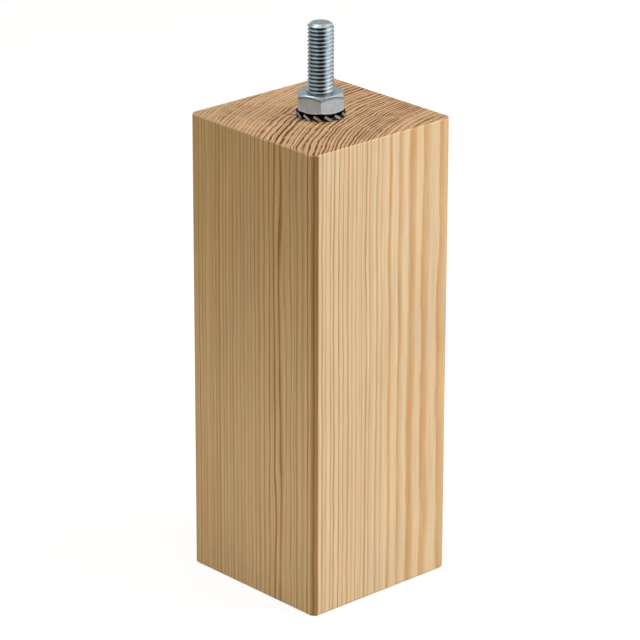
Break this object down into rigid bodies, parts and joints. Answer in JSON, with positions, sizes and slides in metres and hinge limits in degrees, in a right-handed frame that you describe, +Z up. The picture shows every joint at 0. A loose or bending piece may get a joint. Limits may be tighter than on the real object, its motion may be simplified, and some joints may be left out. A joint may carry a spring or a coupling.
{
  "type": "wooden furniture leg",
  "caption": "Square softwood furniture leg with eased edges; a threaded steel stud with a hexagon nut and a toothed lock washer stands out of its top for screwing into a frame.",
  "frame": {"origin": "middle of the leg's underside, where it stands on the floor", "axes": "+Z up along the leg and the stud, X and Y square to the four sides"},
  "size_m": [0.07, 0.07, 0.2211],
  "materials": {
    "softwood": "planed and sanded, clear matt",
    "zinc_plated_steel": "bright blue zinc plating",
    "dark_spring_steel": "dark phosphated and oiled"
  },
  "bodies": {
    "root": {"leg_block": "softwood", "hanger_bolt": "zinc_plated_steel", "hex_nut": "zinc_plated_steel", "toothed_washer": "dark_spring_steel"}
  },
  "joints": []
}
